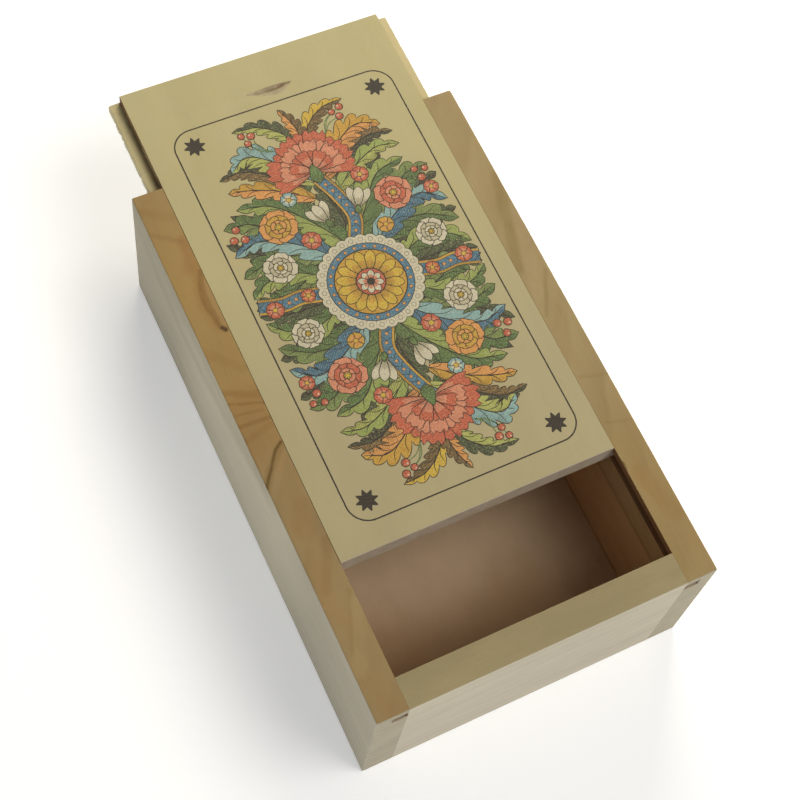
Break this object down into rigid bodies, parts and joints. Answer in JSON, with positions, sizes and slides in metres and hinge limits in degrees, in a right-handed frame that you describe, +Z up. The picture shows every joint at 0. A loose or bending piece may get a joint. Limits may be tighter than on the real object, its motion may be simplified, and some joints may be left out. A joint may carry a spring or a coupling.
{
  "type": "sliding-lid card box",
  "caption": "Rectangular wooden box for a deck of cards. A rebated lid with a thumb notch slides in grooves along the side walls and stands part open.",
  "frame": {"origin": "middle of the box's underside, on the bottom panel", "axes": "+X to the right-hand wall, +Y to the back, where the lid slides out, +Z up"},
  "size_m": [0.086, 0.1686, 0.0451],
  "materials": {
    "wall_wood": "planed and sanded, bare, warm honey colour",
    "end_wood": "planed and sanded, bare, pale",
    "bottom_board": "thin fibreboard, smooth and matt",
    "lid_wood": "fine sanded, pale cream, printed with a decorative card design"
  },
  "bodies": {
    "box": {"left_side_wall": "wall_wood", "right_side_wall": "wall_wood", "front_wall": "end_wood", "back_wall": "end_wood", "bottom_panel": "bottom_board"},
    "lid": {"sliding_lid": "lid_wood"}
  },
  "joints": [
    {"name": "lid_slide", "type": "slide", "parent": "box", "child": "lid", "axis": [0, 1, 0], "range_m": [-0.0282, 0.0895]}
  ]
}
